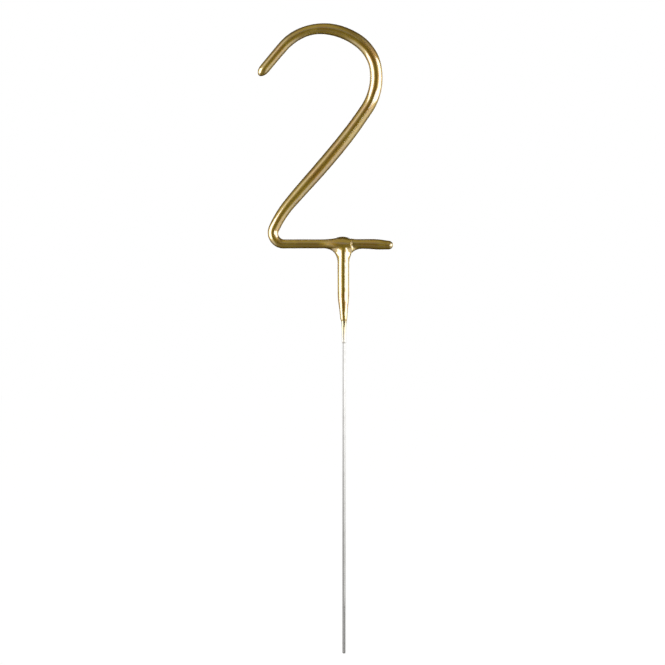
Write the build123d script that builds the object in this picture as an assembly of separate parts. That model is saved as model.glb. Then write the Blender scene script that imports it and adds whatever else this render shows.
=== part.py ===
from build123d import *
import math
import os

# Numeral sparkler: the figure 2 on a wire stem, for the top of a cake.
# Frame: millimetres, +Z up along the stem, +X to the reader's right, -Y towards the reader; angles in degrees.
# The origin is the centre of the stem wire's lower tip.

# Stem wire
stem_wire_d = 1.0
tip_chamfer = 0.18          # blunting of the cropped tip
stem_overrun = 1.0          # wire above the axis of the foot
stem_offset = -0.18         # sideways set of the wire's top end, where the coat covers it
knee_length = 0.8           # the wire turns into its lean within this length

# Figure wire, bent from the toe to the hook; angles are positive to the left of the walk
figure_wire_d = 1.0
foot_height = 117.0         # from the stem's tip to the axis of the foot
toe_run = 12.7              # from the stem's axis to the wire's end in the toe
foot_run = 17.2             # from the stem's axis to the heel
heel_radius = 3.1
heel_angle = -114.4
instep_radius = 31.0
instep_angle = -17.0
diagonal_run = 15.1
neck_radius = 149.0
neck_angle = 7.2
shoulder_radius = 16.9
shoulder_angle = 43.7
brow_radius = 11.8
brow_angle = 43.7
crown_radius = 18.7
crown_angle = 26.4
bow_radius = 15.0
bow_angle = 60.4
hook_run = 7.9

# Weld between the two wires
weld_d = 1.05               # nugget seen from the front
weld_thickness = 0.42
weld_chamfer = 0.1
weld_sink = 0.1             # how far the wires are pressed into each other

# Spark coat of the figure: its radius at the toe, at the junction and at the end of each bend
toe_coat_r = 1.6
foot_coat_r = 1.34
heel_coat_r = 1.66
instep_coat_r = 1.79
diagonal_coat_r = 2.0
neck_coat_r = 1.98
shoulder_coat_r = 1.85
brow_coat_r = 1.87
crown_coat_r = 1.66
bow_coat_r = 1.59
hook_coat_r = 1.55
toe_cap = 1.3               # coat past the wire's end in the toe
hook_cap = 2.75             # the same at the hook

# Spark coat of the stem: a column round the leaning end of the wire, then a taper
column_r = 1.73
column_length = 15.6        # from the axis of the foot to the taper
taper_length = 6.5
taper_end_r = 0.85

# Lacquer that ran down the bare wire: a thick run, then a film
run_length = 2.0
film_r = 0.66
film_length = 4.3
film_edge = 0.1             # thickness of the film where it ends

# Junction, where the two coats flow together
left_flare_r = 3.3
right_flare_r = 2.9
flare_sink = 0.06           # the flares start and end this far under the skin
hump_rise = 0.86            # over the foot's coat, above the end of the stem wire
hump_reach = 3.7            # half-length along the foot
hump_offset = -0.7          # the hump leans to the left of the stem's axis
hump_cover = 0.12           # how far it stands past the column and the foot, to the front and the back

# Sections: how far a bend turns, or a rounded end rises, from one to the next
coat_step_angle = 9.6
wire_step_angle = 20.0
flare_step_angle = 18.0
cap_step_angle = 22.5
taper_radius_shares = (1.0, 0.94, 0.62, 0.50, 0.42, 0.30, 0.0)

stem_wire_r = stem_wire_d / 2
figure_wire_r = figure_wire_d / 2
setback = stem_wire_r + figure_wire_r - weld_sink       # figure's plane, behind the stem's axis
taper_top = foot_height - column_length
taper_end = taper_top - taper_length
film_top = taper_end - run_length
film_end = film_top - film_length
stem_top = foot_height + stem_overrun
knee_top = film_end + knee_length
crossing_x = stem_offset * (foot_height - knee_top) / (stem_top - knee_top)

# One row for each bend after the foot: run or radius, angle turned, coat radius at its end
bends = [
    (heel_radius, heel_angle, heel_coat_r),
    (instep_radius, instep_angle, instep_coat_r),
    (diagonal_run, 0, diagonal_coat_r),
    (neck_radius, neck_angle, neck_coat_r),
    (shoulder_radius, shoulder_angle, shoulder_coat_r),
    (brow_radius, brow_angle, brow_coat_r),
    (crown_radius, crown_angle, crown_coat_r),
    (bow_radius, bow_angle, bow_coat_r),
    (hook_run, 0, hook_coat_r),
]


def shares(count):
    """Even shares from 0 to 1, both included."""
    return [step / count for step in range(count + 1)]


def ring(centre, course, radius):
    """Round section square to its course, with its seam to the back."""
    return Plane(origin=centre, x_dir=(0, 1, 0), z_dir=course) * Circle(radius)


def figure_axis():
    """The figure wire's axis: the foot, then one edge for each bend, each leaving along the end of the last."""
    edges = [Line((toe_run, foot_height), (-foot_run, foot_height))]
    for size, turn, coat_r in bends:
        start = edges[-1] @ 1
        course = edges[-1] % 1
        edges.append(JernArc(start, course, size, turn) if turn else Line(start, start + course * size))
    return [Plane.XZ.offset(-setback) * edge for edge in edges]


def figure_stations(turn_gap):
    """Point, course and coat radius along the figure wire: at the ends of its runs and round its bends."""
    foot, *curves = figure_axis()
    junction = toe_run / (toe_run + foot_run)
    stations = [(foot @ 0, foot % 0, toe_coat_r)]
    stations += [(foot @ share, foot % share, foot_coat_r) for share in (junction, 1)]
    start_r = foot_coat_r
    for edge, (size, turn, end_r) in zip(curves, bends):
        for share in shares(max(1, math.ceil(abs(turn) / turn_gap)))[1:]:
            stations.append((edge @ share, edge % share, start_r + (end_r - start_r) * share))
        start_r = end_r
    return stations


def dome(centre, course, radius, length):
    """Sections of a rounded end, from the one next to its base to its point."""
    rings = []
    for share in shares(round(90 / cap_step_angle))[1:-1]:
        rise = math.radians(90 * share)
        rings.append(ring(centre + course * length * math.sin(rise), course, radius * math.cos(rise)))
    return rings + [Vertex(*(centre + course * length))]


def make_figure_coat():
    """Coat of the figure, from the point of the toe to the point of the hook."""
    stations = figure_stations(coat_step_angle)
    rings = [ring(*station) for station in stations]
    point, course, radius = stations[0]
    toe = dome(point, -course, radius, toe_cap)
    hook = dome(*stations[-1], hook_cap)
    return loft(toe[::-1] + rings + hook, ruled=True)


def make_flare(side, flare_r):
    """Fillet between foot and column: an elbow whose inner bend is the fillet; side is -1 left, 1 right."""
    corner_x = stem_offset + side * (column_r - flare_sink + flare_r)
    corner_z = foot_height - foot_coat_r + flare_sink - flare_r
    rings = []
    for share in shares(math.ceil(90 / flare_step_angle)):
        angle = math.radians(90 * share)
        out = Vector(-side * math.sin(angle), 0, math.cos(angle))
        radius = foot_coat_r + (column_r - foot_coat_r) * share - flare_sink
        centre = Vector(corner_x, setback * (1 - share), corner_z) + out * (flare_r + radius)
        rings.append(ring(centre, (-side * math.cos(angle), 0, -math.sin(angle)), radius))
    return loft(rings, ruled=True)


def make_hump():
    """Swelling of the junction: a long drop over the end of the stem wire, a little past both coats."""
    front = -column_r - hump_cover
    back = setback + foot_coat_r + hump_cover
    top = foot_coat_r + hump_rise
    rings = []
    for share in shares(round(180 / cap_step_angle))[1:-1]:
        rise = math.radians(180 * share - 90)
        section = Ellipse((back - front) / 2 * math.cos(rise), top * math.cos(rise))
        middle = (hump_offset + hump_reach * math.sin(rise), (front + back) / 2, foot_height)
        rings.append(Plane(origin=middle, x_dir=(0, 1, 0), z_dir=(1, 0, 0)) * section)
    return loft(rings, ruled=True)


def stem_ring(z, radius, drift):
    """Section of the stem's coat; drift goes from 1 on the column to 0 on the bare wire's axis."""
    return ring((stem_offset * drift, 0, z), (0, 0, -1), radius)


def make_stem_coat():
    """Coat of the stem: the column from the junction down, then the taper."""
    rings = [stem_ring(foot_height, column_r, 1)]
    for share, radius_share in zip(shares(len(taper_radius_shares) - 1), taper_radius_shares):
        radius = taper_end_r + (column_r - taper_end_r) * radius_share
        rings.append(stem_ring(taper_top - taper_length * share, radius, radius_share))
    return loft(rings, ruled=True)


def make_coat():
    """The whole coat before the wires are cast in."""
    flares = make_flare(-1, left_flare_r) + make_flare(1, right_flare_r)
    return make_figure_coat() + make_stem_coat() + make_hump() + flares


def make_stem_wire():
    """Stem: bare and straight from the tip to the film's end, then a knee and a slightly leaning stretch."""
    bare = Cylinder(stem_wire_r, film_end, align=(Align.CENTER, Align.CENTER, Align.MIN))
    bare = chamfer(bare.edges().group_by(Axis.Z)[0], tip_chamfer)
    start = Vector(0, 0, knee_top)
    lean = Vector(stem_offset, 0, stem_top) - start
    knee = loft([ring((0, 0, film_end), (0, 0, 1), stem_wire_r), ring(start, lean, stem_wire_r)], ruled=True)
    covered = Cylinder(stem_wire_r, lean.length, align=(Align.CENTER, Align.CENTER, Align.MIN))
    return bare + knee + Plane(origin=start, x_dir=(0, 1, 0), z_dir=lean) * covered


def make_figure_wire():
    """Figure wire: a round section carried round the bends."""
    stations = figure_stations(wire_step_angle)
    return loft([ring(point, course, figure_wire_r) for point, course, coat_r in stations], ruled=True)


def make_weld():
    """Weld nugget: a flat button centred where the wires are pressed together."""
    button = Cylinder(weld_d / 2, weld_thickness)
    button = chamfer(button.edges(), weld_chamfer)
    return Pos(crossing_x, stem_wire_r - weld_sink / 2, foot_height) * Rot(90, 0, 0) * button


def make_lacquer_run():
    """Lacquer round the wire under the coat: a thick run that narrows, then a film that thins out."""
    return loft([
        stem_ring(taper_end, taper_end_r, 0),
        stem_ring(film_top, film_r, 0),
        stem_ring(film_end, stem_wire_r + film_edge, 0),
    ], ruled=True)


spot_weld = make_weld()
whole_stem = make_stem_wire()
whole_figure = make_figure_wire()

parts = {
    "stem_wire": whole_stem - spot_weld,
    "figure_wire": whole_figure - spot_weld,
    "spot_weld": spot_weld,
    "spark_coat": make_coat() - whole_stem - whole_figure - spot_weld,
    "lacquer_run": make_lacquer_run() - whole_stem,
}

os.makedirs("parts", exist_ok=True)
for name, shape in parts.items():
    shape.label = name
    export_step(shape, f"parts/{name}.step")
    size = shape.bounding_box().size
    print(name, len(shape.solids()), "solid", round(shape.volume, 2), "mm3", [round(v, 2) for v in size])
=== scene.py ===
import bpy
import math
import numpy as np
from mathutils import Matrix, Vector


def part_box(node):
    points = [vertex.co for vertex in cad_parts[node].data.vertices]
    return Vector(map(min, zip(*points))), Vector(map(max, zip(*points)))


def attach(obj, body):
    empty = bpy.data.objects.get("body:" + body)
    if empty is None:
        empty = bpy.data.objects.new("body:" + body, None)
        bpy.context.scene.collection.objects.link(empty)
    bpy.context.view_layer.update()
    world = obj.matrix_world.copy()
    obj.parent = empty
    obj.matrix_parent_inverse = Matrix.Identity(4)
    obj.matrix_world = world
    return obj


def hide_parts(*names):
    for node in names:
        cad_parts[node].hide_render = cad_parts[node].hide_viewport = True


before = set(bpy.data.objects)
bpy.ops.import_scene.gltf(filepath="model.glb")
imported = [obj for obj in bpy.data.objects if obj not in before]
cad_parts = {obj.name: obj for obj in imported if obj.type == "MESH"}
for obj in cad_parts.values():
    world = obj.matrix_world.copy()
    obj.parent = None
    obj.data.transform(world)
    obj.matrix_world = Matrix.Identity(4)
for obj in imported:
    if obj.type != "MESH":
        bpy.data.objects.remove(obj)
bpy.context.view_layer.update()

# Numeral sparkler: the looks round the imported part.
# The shapes are worked out in millimetres and degrees, the stage and the materials in metres.
MM = 0.001

# The figure's route: x to the right, z up, in the plane y = SETBACK
SETBACK = 0.9
FOOT_HEIGHT = 117.0
TOE_RUN = 12.7
FOOT_RUN = 17.2
FOOT_COAT = 1.34
TOE_COAT = 1.24
HOOK_COAT = 1.55
# Each run or bend after the foot: length or radius, angle turned to the left, coat radius at its end
BENDS = [
    (3.1, -114.4, 1.66),
    (31.0, -17.0, 1.79),
    (15.1, 0, 2.0),
    (149.0, 7.2, 1.98),
    (16.9, 43.7, 1.85),
    (11.8, 43.7, 1.87),
    (18.7, 26.4, 1.66),
    (15.0, 60.4, 1.59),
    (7.9, 0, HOOK_COAT),
]
TOE_CAP = 1.3           # coat past the wire's end in the toe
HOOK_CAP = 2.75         # the same at the hook
TOE_SAG = 0.34          # the thick coat of the toe hangs below the wire's end
SAG_START = 4.0         # where the sag starts, from the stem's axis
FOOT_REACH = 5.0        # the sag and the swelling end this far above the foot's axis

# The toe: distance walked from the wire's end, coat radius
TOE_PROFILE = [(0.0, TOE_COAT), (2.4, 1.57), (7.6, 1.42), (TOE_RUN, FOOT_COAT)]

# The coat is uneven: distance walked from the toe, sideways set to the left of the walk, extra radius
COAT_UNEVEN = [
    (0.0, 0.0, 0.0), (36.0, 0.0, 0.0), (44.0, 0.0, 0.0), (50.0, 0.05, 0.03), (56.0, 0.01, 0.05), (64.0, 0.12, 0.03),
    (72.0, 0.10, 0.01), (78.0, 0.16, -0.03), (84.0, 0.12, 0.01), (92.0, 0.08, 0.0), (98.0, 0.20, 0.02),
    (104.0, 0.17, 0.04), (107.5, 0.16, 0.09), (110.5, 0.145, 0.07), (114.0, 0.09, -0.10), (117.0, 0.05, -0.10),
    (120.5, 0.01, 0.01), (124.0, -0.02, 0.035), (129.0, -0.07, 0.0), (133.3, -0.04, 0.0),
]

# The lacquer on the wire, then the stem's coat above it: height, radius, sideways set
COLUMN_RADIUS = 1.73
STEM_PROFILE = [
    (88.30, 0.62, 0.0), (90.60, 0.66, 0.0), (92.90, 0.67, 0.0), (94.30, 0.80, 0.0), (94.90, 0.86, -0.02),
    (95.30, 1.05, -0.06), (95.98, 1.12, -0.08), (97.07, 1.22, -0.10), (98.15, 1.31, -0.12), (99.23, 1.44, -0.14),
    (100.32, 1.60, -0.16), (101.40, 1.69, -0.17), (102.60, COLUMN_RADIUS, -0.18), (117.00, COLUMN_RADIUS, -0.18),
]
COAT_END = 94.9
FILM_END = 88.6
WIRE_R = 0.5
STEM_DOME = 4.2         # the column's coat rounds off within this height
STEM_TOP = 118.8

# The swelling where foot and stem flow together: a bell on top and a broad front with a step on its right
BELL_X = -0.3
BELL_LEFT = 2.06        # the bell's spread to each side
BELL_RIGHT = 1.5
BELL_RISE = 0.80
FRONT_RISE = 1.30
FRONT_LEFT = -8.0       # the front rises from here
FRONT_SLOPE = 7.5       # within this length
FRONT_FALL = 0.22       # it loses this share towards the step
FALL_START = -0.5
FALL_LENGTH = 2.9
FRONT_RIGHT = 2.3       # where the step to the right ends
STEP_LENGTH = 0.4
FRONT_DROOP = 20        # angle by which the front hangs over the column
DROOP_SPREAD = 3.5
SWELL_POWER = 1.5       # how fast the swelling fades round the foot

FLOW_REACH = 4.2        # foot and column flow into each other within this distance
FLOW_ABOVE = 0.15       # share of that reach above the foot's axis; it grows to the whole of it under the foot

# Sums of gentle waves on the dipped surface: height, count, shortest, longest, seed
COAT_WAVES = [(0.018, 9, 5.0, 14.0, 3), (0.003, 12, 1.6, 4.0, 5)]

CLEARANCE = 0.01        # the dressed surface stays this far under the solid's sections
WAVE_CLEARANCE = 0.008  # and this much further, for the waves


# ---------------------------------------------------------------- route of the figure

TABLE_LENGTH = 2400     # entries of a smoothed table
TAIL = 4                # spreads past its ends, and to each side of a corner


def make_route():
    """Runs and bends as dictionaries, from the toe to the hook, and the length of the whole walk."""
    route = []
    at = np.array([TOE_RUN, FOOT_HEIGHT])
    heading = math.pi
    walked = 0.0
    for size, angle, coat in [(TOE_RUN + FOOT_RUN, 0, FOOT_COAT)] + BENDS:
        turn = math.radians(angle)
        ahead = np.array([math.cos(heading), math.sin(heading)])
        if turn:
            side = math.copysign(1, turn)
            left = np.array([-ahead[1], ahead[0]])
            centre = at + left * side * size
            length = size * abs(turn)
            first = math.atan2(*(at - centre)[::-1])
            row = dict(kind="bend", centre=centre, size=size, side=side, first=first, turn=abs(turn))
            heading += turn
            last = first + turn
            at = centre + size * np.array([math.cos(last), math.sin(last)])
        else:
            length = size
            row = dict(kind="run", at=at, ahead=ahead)
            at = at + ahead * length
        route.append(dict(row, start=walked, length=length, end=walked + length, coat=coat))
        walked += length
    return route, walked


def smooth_profiles(rows, end, spread):
    """The places along some rows' first column, then one table for each other column, with its corners rounded off."""
    places, *columns = zip(*rows)
    fine = np.linspace(places[0] - TAIL * spread, end + TAIL * spread, TABLE_LENGTH)
    gap = fine[1] - fine[0]
    reach = int(TAIL * spread / gap)
    weights = np.exp(-0.5 * (np.arange(-reach, reach + 1) * gap / spread) ** 2)
    tables = []
    for values in columns:
        padded = np.pad(np.interp(fine, places, values), reach, mode="edge")
        tables.append(np.convolve(padded, weights / weights.sum(), mode="valid"))
    return fine, *tables


ROUTE, ROUTE_LENGTH = make_route()
COAT_PROFILE = TOE_PROFILE + [(row["end"], row["coat"]) for row in ROUTE]
COAT_PLACES, COAT_RADII = smooth_profiles(COAT_PROFILE, ROUTE_LENGTH, 1.0)
UNEVEN_PLACES, COAT_SETS, COAT_EXTRAS = smooth_profiles(COAT_UNEVEN, ROUTE_LENGTH, 1.5)
STEM_PLACES, STEM_RADII, STEM_SETS = smooth_profiles(STEM_PROFILE, STEM_PROFILE[-1][0], 0.4)
# The rounded ends: distance walked, course out of the end, how much the coat is squeezed along it
ROUTE_ENDS = (
    (0.0, -ROUTE[0]["ahead"], TOE_COAT / TOE_CAP - 1),
    (ROUTE_LENGTH, ROUTE[-1]["ahead"], HOOK_COAT / HOOK_CAP - 1),
)


# ---------------------------------------------------------------- fields of the coat

def nearest_on_route(p):
    """For each point: distance walked, the nearest point of the axis and the course to the left of the walk there."""
    x, z = p[:, 0], p[:, 2]
    best = np.full(len(p), 1e9)
    walked = np.zeros(len(p))
    near = np.zeros((len(p), 2))
    left = np.zeros((len(p), 2))
    for row in ROUTE:
        if row["kind"] == "run":
            at, ahead = row["at"], row["ahead"]
            along = np.clip((x - at[0]) * ahead[0] + (z - at[1]) * ahead[1], 0, row["length"])
            near_here = np.stack([at[0] + ahead[0] * along, at[1] + ahead[1] * along], 1)
            left_here = np.tile([-ahead[1], ahead[0]], (len(p), 1))
        else:
            centre, half = row["centre"], row["turn"] / 2
            middle = row["first"] + row["side"] * half
            angle = np.arctan2(z - centre[1], x - centre[0]) - middle
            angle = np.clip((angle + math.pi) % (2 * math.pi) - math.pi, -half, half)
            along = (row["side"] * angle + half) * row["size"]
            out = np.stack([np.cos(middle + angle), np.sin(middle + angle)], 1)
            near_here = centre + row["size"] * out
            left_here = -row["side"] * out
        gap = (x - near_here[:, 0]) ** 2 + (z - near_here[:, 1]) ** 2
        nearer = gap < best
        best[nearer] = gap[nearer]
        walked[nearer] = (row["start"] + along)[nearer]
        near[nearer] = near_here[nearer]
        left[nearer] = left_here[nearer]
    return walked, near, left


def unit(away):
    """Length of each row, and its course."""
    size = np.linalg.norm(away, axis=1)
    return size, away / np.maximum(size, 1e-6)[:, None]


def soft_step(share):
    """Smooth rise from 0 to 1."""
    share = np.clip(share, 0, 1)
    return share * share * (3 - 2 * share)


def swelling(p, away):
    """Extra thickness of the foot's coat round the junction, upwards and to the front."""
    x = p[:, 0]
    across = np.maximum(np.hypot(away[:, 1], away[:, 2]), 1e-6)
    up = np.clip(away[:, 2] / across, 0, 1)
    droop = math.radians(FRONT_DROOP) * np.exp(-(x / DROOP_SPREAD) ** 2)
    front = np.clip((-away[:, 1] * np.cos(droop) - away[:, 2] * np.sin(droop)) / across, 0, 1)
    width = np.where(x < BELL_X, BELL_LEFT, BELL_RIGHT)
    bell = np.exp(-0.5 * ((x - BELL_X) / width) ** 2)
    fall = 1 - FRONT_FALL * np.clip((x - FALL_START) / FALL_LENGTH, 0, 1) ** 2
    broad = soft_step((x - FRONT_LEFT) / FRONT_SLOPE) * fall * soft_step((FRONT_RIGHT - x) / STEP_LENGTH)
    extra = BELL_RISE * bell * up ** SWELL_POWER + FRONT_RISE * broad * front ** SWELL_POWER
    return np.where(p[:, 2] < FOOT_HEIGHT + FOOT_REACH, extra, 0)


def figure_field(p):
    """Signed distance to the figure's coat, and the direction away from its axis."""
    walked, near, left = nearest_on_route(p)
    near = near + left * np.interp(walked, UNEVEN_PLACES, COAT_SETS)[:, None]
    sag = TOE_SAG * np.clip((p[:, 0] - SAG_START) / (TOE_RUN - SAG_START), 0, 1) ** 2
    sag = np.where(p[:, 2] < FOOT_HEIGHT + FOOT_REACH, sag, 0)
    away = np.stack([p[:, 0] - near[:, 0], p[:, 1] - SETBACK, p[:, 2] + sag - near[:, 1]], 1)
    radius = np.interp(walked, COAT_PLACES, COAT_RADII) + np.interp(walked, UNEVEN_PLACES, COAT_EXTRAS) - CLEARANCE
    radius = radius + swelling(p, away)
    squeezed = away.copy()
    for place, out, squeeze in ROUTE_ENDS:
        along = np.where(walked == place, away[:, 0] * out[0] + away[:, 2] * out[1], 0)
        along = np.maximum(along, 0) * squeeze
        squeezed[:, 0] += along * out[0]
        squeezed[:, 2] += along * out[1]
    size, course = unit(squeezed)
    return size - radius, course


def stem_field(p):
    """Signed distance to the stem's coat, closed by a long dome inside the junction."""
    z = p[:, 2]
    radius = np.interp(z, STEM_PLACES, STEM_RADII) - CLEARANCE
    rise = np.maximum(z - (STEM_TOP - STEM_DOME), 0) * (COLUMN_RADIUS / STEM_DOME)
    size, course = unit(np.stack([p[:, 0] - np.interp(z, STEM_PLACES, STEM_SETS), p[:, 1], rise], 1))
    return size - radius, course


def flow(a, b, reach):
    """Joins two fields. They flow into each other where they meet at an angle, and not where they lie flush."""
    (da, ga), (db, gb) = a, b
    bend = 1 - np.clip((ga * gb).sum(1), 0, 1)
    under = FLOW_ABOVE + (1 - FLOW_ABOVE) * np.clip(-ga[:, 2], 0, 1) ** 2
    k = np.maximum(reach * bend * under, 1e-3)
    h = np.clip(1 - np.abs(da - db) / k, 0, 1)
    return np.minimum(da, db) - h * h * k / 4


def waves(p, count, shortest, longest, seed):
    """Sum of gentle waves in all directions, between about -1 and 1."""
    rng = np.random.default_rng(seed)
    total = np.zeros(len(p))
    for _ in range(count):
        course = rng.normal(size=3)
        course /= np.linalg.norm(course)
        length = rng.uniform(shortest, longest)
        total += np.sin(p @ course * (2 * math.pi / length) + rng.uniform(0, 2 * math.pi))
    return total / math.sqrt(count)


def coat_field(p):
    """Signed distance to the dipped coat."""
    uneven = sum(height * waves(p, *rest) for height, *rest in COAT_WAVES)
    body = flow(figure_field(p), stem_field(p), FLOW_REACH) + WAVE_CLEARANCE + uneven
    return np.maximum(body, COAT_END - p[:, 2])


# ---------------------------------------------------------------- skin of a field

COARSE = 4              # a field is first looked at on every fourth place of the grid
BATCH = 200000          # places worked out at a time
OUTSIDE = 9.0           # value of a place that isn't worked out
NEAR = 2.0              # coarse steps within which a place is near the surface
SETTLE = 4              # how often the corners move onto the field
SLOPE_SHARE = 0.05      # share of a step to each side, where they read its slope
LEAST_SLOPE = 0.05      # smallest square of a slope that they go by


def lattice(counts):
    """Every place of a grid, as whole numbers."""
    return np.stack(np.meshgrid(*[np.arange(count) for count in counts], indexing="ij"), -1).reshape(-1, 3)


def grid_values(field, low, counts, step):
    """Values of a field on a grid, worked out in full only near the surface."""
    values = np.full(counts, OUTSIDE)
    rough = lattice([-(-count // COARSE) for count in counts]) * COARSE
    seen = field(low + rough * step)
    near = np.abs(seen) < step * COARSE * NEAR
    block = lattice([COARSE] * 3) - COARSE // 2

    def around(places):
        return np.clip((places[:, None] + block).reshape(-1, 3), 0, np.array(counts) - 1)

    values[tuple(around(rough[(seen < 0) & ~near]).T)] = -OUTSIDE
    places = np.unique(around(rough[near]), axis=0)
    for first in range(0, len(places), BATCH):
        part = places[first:first + BATCH]
        values[tuple(part.T)] = field(low + part * step)
    return values


def slope_of(field, points, gap):
    """Gradient of a field at each point."""
    return np.stack([(field(points + gap * e) - field(points - gap * e)) / (2 * gap) for e in np.eye(3)], 1)


def skin_of(field, low, high, step):
    """Closed quad mesh of a field's zero level; every corner is moved onto the field itself."""
    counts = [math.ceil((high[i] - low[i]) / step) + 1 for i in range(3)]
    solid = grid_values(field, low, counts, step) < 0
    corners = [solid[i:counts[0] - 1 + i, j:counts[1] - 1 + j, k:counts[2] - 1 + k]
               for i in (0, 1) for j in (0, 1) for k in (0, 1)]
    mixed = np.logical_or.reduce(corners) & ~np.logical_and.reduce(corners)
    index = np.full(mixed.shape, -1)
    index[mixed] = np.arange(mixed.sum())
    points = low + (np.argwhere(mixed) + 0.5) * step
    quads = []
    for axis in range(3):
        b, c = (axis + 1) % 3, (axis + 2) % 3
        here = [slice(1, -1)] * 3
        there = [slice(1, -1)] * 3
        here[axis] = slice(0, -1)
        there[axis] = slice(1, None)
        first, second = solid[tuple(here)], solid[tuple(there)]
        for out_first in (True, False):
            edges = np.argwhere((first & ~second) if out_first else (~first & second))
            edges[:, b] += 1
            edges[:, c] += 1
            ring = []
            for db, dc in ((-1, -1), (0, -1), (0, 0), (-1, 0)):
                cell = edges.copy()
                cell[:, b] += db
                cell[:, c] += dc
                ring.append(index[tuple(cell.T)])
            quad = np.stack(ring, 1)
            quads.append(quad if out_first else quad[:, ::-1])
    quads = np.concatenate(quads)
    quads = quads[(quads >= 0).all(1)]
    for _ in range(SETTLE):
        slope = slope_of(field, points, step * SLOPE_SHARE)
        move = slope * (field(points) / np.maximum((slope ** 2).sum(1), LEAST_SLOPE))[:, None]
        length = np.linalg.norm(move, axis=1)
        points = points - move * np.minimum(1, step / np.maximum(length, 1e-9))[:, None]
    return points, quads


def add_mesh(name, points, faces, material):
    """Smooth-shaded piece from points in millimetres."""
    mesh = bpy.data.meshes.new(name)
    mesh.from_pydata((points * MM).tolist(), [], faces.tolist())
    mesh.validate()
    mesh.materials.append(material)
    mesh.shade_smooth()
    piece = bpy.data.objects.new(name, mesh)
    bpy.context.scene.collection.objects.link(piece)
    return piece


# ---------------------------------------------------------------- nodes

def feed(tree, value, socket):
    """Sets a number or a colour on the socket itself, and links anything else to it."""
    if isinstance(value, (int, float)):
        socket.default_value = value
    elif isinstance(value, tuple):
        socket.default_value = (*value, 1)
    else:
        tree.links.new(value, socket)


def feed_all(tree, node, inputs):
    for name, value in inputs.items():
        feed(tree, value, node.inputs[name])


def new_material(name):
    material = bpy.data.materials.new(name)
    material.use_nodes = True
    nodes = material.node_tree.nodes
    nodes.clear()
    out = nodes.new("ShaderNodeOutputMaterial")
    shader = nodes.new("ShaderNodeBsdfPrincipled")
    material.node_tree.links.new(shader.outputs[0], out.inputs[0])
    return material, material.node_tree, shader


def object_point(tree):
    return tree.nodes.new("ShaderNodeTexCoord").outputs["Object"]


def split_axes(tree, point):
    split = tree.nodes.new("ShaderNodeSeparateXYZ")
    tree.links.new(point, split.inputs[0])
    return tuple(split.outputs)


def noise(tree, point, scale, detail=2.0, rough=0.5, stretch=None):
    if stretch:
        mapping = tree.nodes.new("ShaderNodeMapping")
        mapping.inputs["Scale"].default_value = stretch
        tree.links.new(point, mapping.inputs["Vector"])
        point = mapping.outputs["Vector"]
    node = tree.nodes.new("ShaderNodeTexNoise")
    feed_all(tree, node, {"Scale": scale, "Detail": detail, "Roughness": rough, "Vector": point})
    return node.outputs["Fac"]


def ramp(tree, value, stops):
    node = tree.nodes.new("ShaderNodeValToRGB")
    for element, (place, colour) in zip(node.color_ramp.elements, stops):
        element.position = place
        element.color = (*colour, 1)
    for place, colour in stops[len(node.color_ramp.elements):]:
        node.color_ramp.elements.new(place).color = (*colour, 1)
    tree.links.new(value, node.inputs["Fac"])
    return node.outputs["Color"]


def span(tree, value, from_low, from_high, to_low, to_high):
    """Turns one range of a value into another, and holds it at the ends."""
    node = tree.nodes.new("ShaderNodeMapRange")
    feed_all(tree, node, {
        "Value": value, "From Min": from_low, "From Max": from_high, "To Min": to_low, "To Max": to_high,
    })
    return node.outputs["Result"]


def arithmetic(tree, kind, *values):
    node = tree.nodes.new("ShaderNodeMath")
    node.operation = kind
    for value, socket in zip(values, node.inputs):
        feed(tree, value, socket)
    return node.outputs[0]


def mix(tree, share, first, second, kind="MIX"):
    node = tree.nodes.new("ShaderNodeMix")
    node.data_type = "RGBA"
    node.blend_type = kind
    for value, socket in ((share, node.inputs[0]), (first, node.inputs[6]), (second, node.inputs[7])):
        feed(tree, value, socket)
    return node.outputs[2]


def bump(tree, height, strength, distance, before=None):
    node = tree.nodes.new("ShaderNodeBump")
    feed_all(tree, node, {"Strength": strength, "Distance": distance, "Height": height})
    if before is not None:
        tree.links.new(before, node.inputs["Normal"])
    return node.outputs["Normal"]


def camera_ray(tree):
    return tree.nodes.new("ShaderNodeLightPath").outputs["Is Camera Ray"]


def pick_shader(tree, share, first, second, out):
    """Sends the output a share of the second shader, and the first one for the rest."""
    pick = tree.nodes.new("ShaderNodeMixShader")
    for source, socket in zip((share, first.outputs[0], second.outputs[0]), pick.inputs):
        tree.links.new(source, socket)
    tree.links.new(pick.outputs[0], out.inputs[0])


# ---------------------------------------------------------------- materials

WHITE = (1.0, 1.0, 1.0)
GOLD_OLIVE = (0.41, 0.268, 0.018)
GOLD_BROWN = (0.44, 0.232, 0.015)
GOLD_PALE = (0.48, 0.334, 0.036)
FILM_PALE = (0.36, 0.33, 0.22)
STEEL_BRIGHT = (0.42, 0.415, 0.405)
STEEL_DULL = (0.22, 0.217, 0.210)


def gold_colour(tree, point):
    """Olive gold with browner and paler clouds, and the fine flake of the pigment."""
    clouds = noise(tree, point, 170.0, 3.0, 0.55)
    flake = noise(tree, point, 5200.0, 1.0, 0.5)
    base = ramp(tree, clouds, [(0.30, GOLD_BROWN), (0.50, GOLD_OLIVE), (0.74, GOLD_PALE)])
    glint = ramp(tree, flake, [(0.35, (0.92, 0.92, 0.92)), (0.65, WHITE)])
    return mix(tree, 0.5, base, glint, "MULTIPLY"), clouds


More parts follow.
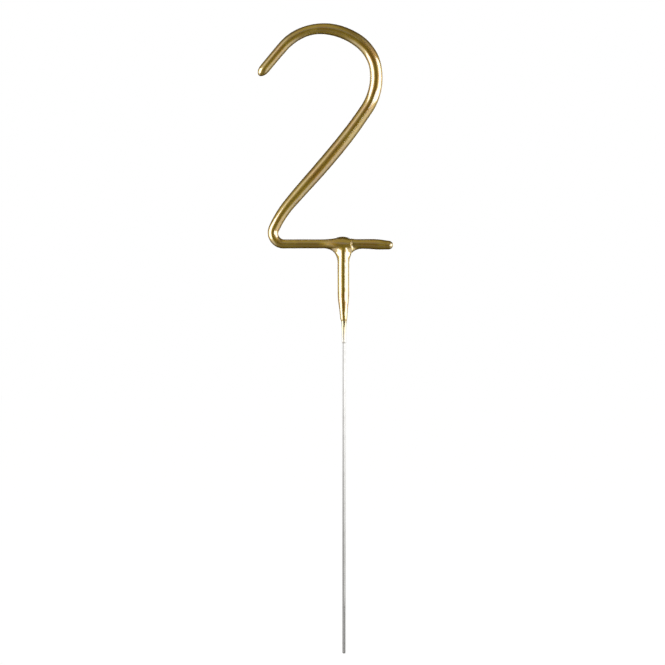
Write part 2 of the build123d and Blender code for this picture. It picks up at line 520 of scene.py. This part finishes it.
def lacquer_material():
    """Gold lacquer over the spark mix, with a hard clear skin that is faintly dimpled."""
    material, tree, shader = new_material("gold_lacquer_coat")
    point = object_point(tree)
    colour, clouds = gold_colour(tree, point)
    peel = bump(tree, noise(tree, point, 420.0, 2.0), 0.2, 0.00004)
    grain = bump(tree, noise(tree, point, 3000.0, 1.0), 0.03, 0.00001, peel)
    feed_all(tree, shader, {
        "Base Color": colour,
        "Metallic": 1.0,
        "Roughness": span(tree, clouds, 0.3, 0.7, 0.45, 0.52),
        "Normal": grain,
        "Coat Weight": 1.0,
        "Coat IOR": 2.8,
        "Coat Roughness": 0.11,
        "Coat Normal": peel,
    })
    return material


def steel_nodes(tree, point):
    """Drawn wire: its colour, duller towards the tip, the fine lines along it and the dull spots."""
    lines = noise(tree, point, 1.0, 2.0, 0.6, (5200.0, 5200.0, 55.0))
    spots = noise(tree, point, 500.0, 3.0, 0.6)
    upper = span(tree, split_axes(tree, point)[2], 0.030, 0.080, 0.0, 1.0)
    worn = ramp(tree, spots, [(0.30, (0.8, 0.79, 0.78)), (0.55, WHITE)])
    drawn = ramp(tree, lines, [(0.3, (0.75, 0.75, 0.75)), (0.7, WHITE)])
    colour = mix(tree, 0.5, mix(tree, upper, STEEL_DULL, STEEL_BRIGHT), worn, "MULTIPLY")
    return mix(tree, 0.3, colour, drawn, "MULTIPLY"), lines, spots


def steel_material():
    material, tree, shader = new_material("drawn_steel")
    colour, lines, spots = steel_nodes(tree, object_point(tree))
    feed_all(tree, shader, {
        "Base Color": colour,
        "Metallic": 1.0,
        "Roughness": span(tree, spots, 0.3, 0.7, 0.05, 0.035),
        "Normal": bump(tree, lines, 0.04, 0.00001),
    })
    return material


def weld_material():
    material, tree, shader = new_material("weld_metal")
    spots = noise(tree, object_point(tree), 2400.0, 3.0, 0.6)
    feed_all(tree, shader, {
        "Base Color": ramp(tree, spots, [(0.3, (0.16, 0.15, 0.17)), (0.7, (0.36, 0.33, 0.30))]),
        "Metallic": 1.0,
        "Roughness": 0.5,
        "Normal": bump(tree, spots, 0.4, 0.00004),
    })
    return material


def film_material():
    """Gold lacquer that thins out over the steel towards its lower edge."""
    material, tree, shader = new_material("gold_film")
    point = object_point(tree)
    gold, clouds = gold_colour(tree, point)
    steel = steel_nodes(tree, point)[0]
    height = split_axes(tree, point)[2]
    ragged = arithmetic(tree, "MULTIPLY_ADD", noise(tree, point, 700.0, 2.0), 0.0018, height)
    thin = span(tree, ragged, 0.0890, 0.0945, 0.95, 0.15)
    feed_all(tree, shader, {
        "Base Color": mix(tree, thin, mix(tree, 0.5, gold, FILM_PALE), steel),
        "Metallic": 1.0,
        "Roughness": span(tree, clouds, 0.3, 0.7, 0.14, 0.22),
        "Normal": bump(tree, noise(tree, point, 600.0, 2.0), 0.1, 0.00003),
        "Coat Weight": 1.0,
        "Coat IOR": 1.9,
        "Coat Roughness": 0.11,
    })
    return material


# ---------------------------------------------------------------- pieces

COAT_STEP = 0.17        # grid of the coat's mesh
GRID_MARGIN = 0.8       # grid past the solid's box
BOX_CLEARANCE = 0.01    # the mesh stays this far inside that box
NORMAL_GAP = 0.02       # the field's slope is read this far to each side
FILM_AROUND = 40        # corners of a ring of the film
FILM_RINGS = 70         # rings from its top down to the first of the last ones
FILM_RISE = 0.5         # the film starts this far inside the coat
FILM_TUCK = 0.5         # and narrows there by this share of the height
FILM_EDGE = (0.5, 0.25, 0.02)   # its last rings, above its lower edge
FILM_CLEARANCE = 0.02
FILM_WAVES = (6, 2.0, 5.0, 11)  # count, shortest, longest, seed
FILM_WAVE = 0.012       # their height
FILM_LEAST = 0.008      # thinnest film on the wire


def make_coat(material):
    """The dipped coat, shaded by its field's own slope."""
    coat_low, coat_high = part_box("spark_coat")
    low, high = np.array(coat_low) / MM, np.array(coat_high) / MM
    step = COAT_STEP
    points, quads = skin_of(coat_field, low - GRID_MARGIN, high + GRID_MARGIN, step)
    points = np.clip(points, low + BOX_CLEARANCE, high - BOX_CLEARANCE)
    coat = add_mesh("dipped_coat", points, quads, material)
    normals = unit(slope_of(coat_field, points, NORMAL_GAP))[1]
    coat.data.normals_split_custom_set_from_vertices(normals.tolist())
    return coat


def make_film(material):
    """Lacquer that ran down under the coat: a thick collar, then a film with a slightly wavy edge."""
    turns = np.linspace(0, 2 * math.pi, FILM_AROUND, endpoint=False)
    circle = np.stack([np.cos(turns), np.sin(turns)], 1)
    last_places = [FILM_END + height for height in FILM_EDGE]
    rings = []
    for place in [*np.linspace(COAT_END + FILM_RISE, last_places[0], FILM_RINGS), *last_places[1:]]:
        radius = np.interp(place, STEM_PLACES, STEM_RADII) - FILM_CLEARANCE - max(place - COAT_END, 0) * FILM_TUCK
        height = np.full((FILM_AROUND, 1), place)
        wave = waves(np.hstack([circle, height]), *FILM_WAVES)
        radii = np.maximum(radius - FILM_WAVE * (1 + wave), WIRE_R + FILM_LEAST)
        rings.append(np.hstack([circle * radii[:, None], height]))
    rings.append(np.hstack([circle * (WIRE_R - FILM_CLEARANCE), rings[-1][:, 2:]]))
    here = np.arange(FILM_AROUND)
    ahead = (here + 1) % FILM_AROUND
    band = np.stack([here, here + FILM_AROUND, ahead + FILM_AROUND, ahead], 1)
    faces = np.concatenate([band + row * FILM_AROUND for row in range(len(rings) - 1)])
    return add_mesh("lacquer_film", np.concatenate(rings), faces, material)


coat = make_coat(lacquer_material())
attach(coat, "root")
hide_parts("spark_coat")

run = make_film(film_material())
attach(run, "root")
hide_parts("lacquer_run")

steel = steel_material()
for name, material in (("stem_wire", steel), ("figure_wire", steel), ("spot_weld", weld_material())):
    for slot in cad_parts[name].material_slots:
        slot.material = material


# ---------------------------------------------------------------- stage

SOFTBOX_RADIANCE = 3.5
# Angle round the object, 0 on the camera's side and positive to the right; distance, height; the box's two sides
SOFTBOXES = {
    "left_softbox": (-65.0, 0.8, 0.14, 0.66, 0.78),
    "right_softbox": (74.0, 0.8, 0.19, 0.75, 0.64),
    "right_low_box": (35.8, 0.935, 0.0375, 0.437, 0.185),
}
WARM_LIGHT = (1.0, 0.82, 0.28)
FLOOR_GREY = (0.35, 0.35, 0.35)
FLOOR_GLOW = 1.08           # white that the floor adds for the camera
FLOOR_GLOW_SHARE = 0.92
FLOOR_HALF = 4.0            # from its middle to its edges


def add_softbox(name, azimuth, distance, height, width, tall):
    """Square-on to the object at its own height, as bright as the others whatever its size."""
    lamp = bpy.data.lights.new(name, "AREA")
    lamp.shape = "RECTANGLE"
    lamp.size = width
    lamp.size_y = tall
    lamp.energy = SOFTBOX_RADIANCE * math.pi * width * tall
    light = bpy.data.objects.new(name, lamp)
    bpy.context.scene.collection.objects.link(light)
    angle = math.radians(azimuth)
    light.location = (math.sin(angle) * distance, -math.cos(angle) * distance, height)
    light.rotation_mode = "QUATERNION"
    light.rotation_quaternion = (Vector((0, 0, height)) - light.location).to_track_quat("-Z", "Y")


def make_room():
    """White for the camera. Everything else sees a room: light side walls and ceiling, a dim floor and dim upper
    corners, nearly dark on the camera's side and behind. Straight behind is a bright panel, with light walls beside
    it at eye level. Overhead and underneath the light is warm."""
    world = bpy.data.worlds.new("studio")
    bpy.context.scene.world = world
    world.use_nodes = True
    tree = world.node_tree
    tree.nodes.clear()
    out = tree.nodes.new("ShaderNodeOutputWorld")
    x, y, z = split_axes(tree, tree.nodes.new("ShaderNodeTexCoord").outputs["Generated"])
    x_size, z_size = (arithmetic(tree, "ABSOLUTE", value) for value in (x, z))

    sides = span(tree, x_size, 0.42, 0.62, 0.030, 0.80)
    overhead = span(tree, z, 0.15, 0.80, 0.0, 0.52)
    below = span(tree, z, -0.25, -0.85, 0.0, 0.17)
    walls = arithmetic(tree, "ADD", arithmetic(tree, "ADD", sides, overhead), below)

    right_corner = span(tree, arithmetic(tree, "MINIMUM", x, z), 0.10, 0.35, 1.0, 0.3)
    left = span(tree, x, -1.0, 0.0, 1.0, 0.0)
    left_up = span(tree, arithmetic(tree, "MINIMUM", left, z), 0.25, 0.50, 0.0, 1.0)
    aside = span(tree, y, -0.55, -0.25, 0.0, 0.7)
    left_corner = span(tree, arithmetic(tree, "MULTIPLY", left_up, aside), 0.0, 1.0, 1.0, 0.0)
    corners = arithmetic(tree, "MULTIPLY", right_corner, left_corner)

    behind = span(tree, y, -0.15, 0.35, 1.0, 0.15)
    glow = arithmetic(tree, "MULTIPLY", arithmetic(tree, "MULTIPLY", walls, corners), behind)
    back_panel = span(tree, y, 0.88, 0.93, 0.0, 2.2)

    level = span(tree, z_size, 0.08, 0.35, 1.0, 0.0)
    rear = span(tree, y, 0.25, 0.60, 0.0, 1.0)
    right_share = span(tree, x, -0.3, 0.3, 0.7, 1.3)
    rear_level = arithmetic(tree, "MULTIPLY", level, rear)
    rear_sides = arithmetic(tree, "MULTIPLY", rear_level, arithmetic(tree, "MULTIPLY", sides, right_share))
    strength = arithmetic(tree, "ADD", arithmetic(tree, "ADD", glow, back_panel), rear_sides)

    low_share = span(tree, z, -1.0, 0.0, 0.78, 0.0)
    upright = span(tree, arithmetic(tree, "MAXIMUM", z, low_share), 0.50, 0.66, 0.0, 1.0)
    middle = span(tree, x_size, 0.25, 0.60, 1.0, 0.2)
    colour = mix(tree, arithmetic(tree, "MULTIPLY", upright, middle), WHITE, WARM_LIGHT)

    room = tree.nodes.new("ShaderNodeBackground")
    feed_all(tree, room, {"Color": colour, "Strength": strength})
    white = tree.nodes.new("ShaderNodeBackground")
    feed_all(tree, white, {"Color": WHITE, "Strength": 1.0})
    pick_shader(tree, camera_ray(tree), room, white, out)


def make_floor():
    """Plain floor that the camera sees nearly white."""
    material, tree, shader = new_material("pale_floor")
    feed_all(tree, shader, {"Base Color": FLOOR_GREY, "Roughness": 0.9, "Specular IOR Level": 0.0})
    glow = tree.nodes.new("ShaderNodeEmission")
    feed_all(tree, glow, {"Color": WHITE, "Strength": FLOOR_GLOW})
    share = arithmetic(tree, "MULTIPLY", camera_ray(tree), FLOOR_GLOW_SHARE)
    out = next(node for node in tree.nodes if node.type == "OUTPUT_MATERIAL")
    pick_shader(tree, share, shader, glow, out)
    mesh = bpy.data.meshes.new("floor")
    corners = [(x * FLOOR_HALF, y * FLOOR_HALF, 0) for x, y in ((-1, -1), (1, -1), (1, 1), (-1, 1))]
    mesh.from_pydata(corners, [], [(0, 1, 2, 3)])
    mesh.materials.append(material)
    floor = bpy.data.objects.new("floor", mesh)
    bpy.context.scene.collection.objects.link(floor)
    floor.visible_glossy = False
    floor.visible_shadow = False


for name, values in SOFTBOXES.items():
    add_softbox(name, *values)
make_room()
make_floor()


# ---------------------------------------------------------------- camera

PHOTO_WIDTH = 665 * 0.2860 * MM     # pixels of the photograph, and millimetres to a pixel
VIEW_X = -3.289                     # middle of the photograph, from the stem's axis and its tip
VIEW_HEIGHT = 91.66
LENS = 200.0
SENSOR = 36.0

camera_data = bpy.data.cameras.new("camera")
camera_data.lens = LENS
camera_data.sensor_width = SENSOR
camera_data.clip_start = 0.05
camera_data.clip_end = 50
camera = bpy.data.objects.new("camera", camera_data)
bpy.context.scene.collection.objects.link(camera)
camera.location = (VIEW_X * MM, SETBACK * MM - PHOTO_WIDTH * LENS / SENSOR, VIEW_HEIGHT * MM)
camera.rotation_euler = (math.pi / 2, 0, 0)
bpy.context.scene.camera = camera
bpy.context.scene.view_settings.view_transform = "Standard"
